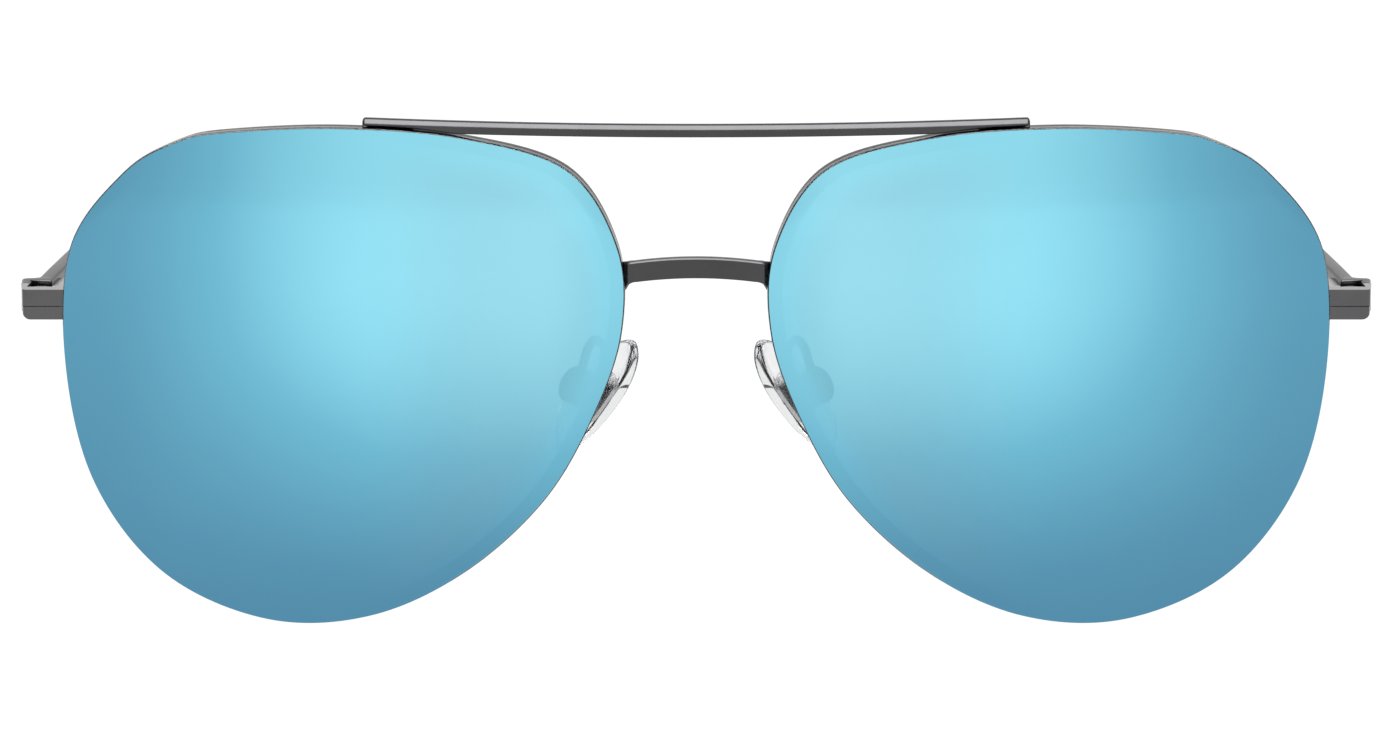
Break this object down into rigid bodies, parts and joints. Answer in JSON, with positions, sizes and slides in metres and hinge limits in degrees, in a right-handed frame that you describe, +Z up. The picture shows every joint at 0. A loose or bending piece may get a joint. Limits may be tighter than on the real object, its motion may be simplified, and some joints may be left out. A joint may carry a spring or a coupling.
{
  "type": "sunglasses",
  "caption": "Aviator sunglasses: mirrored teardrop lenses over a metal frame with a brow bar, folding temples with plastic tips, and rocking nose pads on wire arms.",
  "frame": {"origin": "middle of the footprint of the open glasses, on the surface that the two lenses and the two temple tips stand on", "axes": "+X to the wearer's left, +Y from the lenses back along the temples, +Z up"},
  "size_m": [0.1492, 0.1452, 0.0566],
  "materials": {
    "mirror_lens": "gloss",
    "gunmetal": "satin",
    "screw_steel": "polished",
    "clear_silicone": "gloss",
    "dark_acetate": "gloss"
  },
  "bodies": {
    "front": {"brow_bar": "gunmetal", "nose_bridge": "gunmetal", "lens_left": "mirror_lens", "lens_right": "mirror_lens", "rim_left": "gunmetal", "rim_right": "gunmetal", "brow_foot_left": "gunmetal", "brow_foot_right": "gunmetal", "end_piece_left": "gunmetal", "end_piece_right": "gunmetal", "closing_block_left": "gunmetal", "closing_block_right": "gunmetal", "closing_screw_left": "screw_steel", "closing_screw_right": "screw_steel", "front_hinge_left": "gunmetal", "front_hinge_right": "gunmetal", "hinge_screw_left": "screw_steel", "hinge_screw_right": "screw_steel", "pad_arm_left": "gunmetal", "pad_arm_right": "gunmetal", "pad_box_left": "gunmetal", "pad_box_right": "gunmetal", "pad_screw_left": "screw_steel", "pad_screw_right": "screw_steel"},
    "temple_left": {"temple_left": "gunmetal", "temple_hinge_left": "gunmetal", "temple_tip_left": "dark_acetate"},
    "pad_left": {"nose_pad_left": "clear_silicone", "pad_insert_left": "screw_steel"},
    "temple_right": {"temple_right": "gunmetal", "temple_hinge_right": "gunmetal", "temple_tip_right": "dark_acetate"},
    "pad_right": {"nose_pad_right": "clear_silicone", "pad_insert_right": "screw_steel"}
  },
  "joints": [
    {"name": "temple_fold_left", "type": "hinge", "parent": "front", "child": "temple_left", "pos_m": [0.072, -0.05912, 0.0355], "axis": [0, 0, 1], "range_deg": [0, 86]},
    {"name": "temple_fold_right", "type": "hinge", "parent": "front", "child": "temple_right", "pos_m": [-0.072, -0.05912, 0.0355], "axis": [0, 0, -1], "range_deg": [0, 78]},
    {"name": "pad_rock_left", "type": "hinge", "parent": "front", "child": "pad_left", "pos_m": [0.0123, -0.06272, 0.02595], "axis": [0.4815, 0.809, 0.3371], "range_deg": [-8, 8]},
    {"name": "pad_rock_right", "type": "hinge", "parent": "front", "child": "pad_right", "pos_m": [-0.0123, -0.06272, 0.02595], "axis": [-0.4815, 0.809, 0.3371], "range_deg": [-8, 8]}
  ]
}
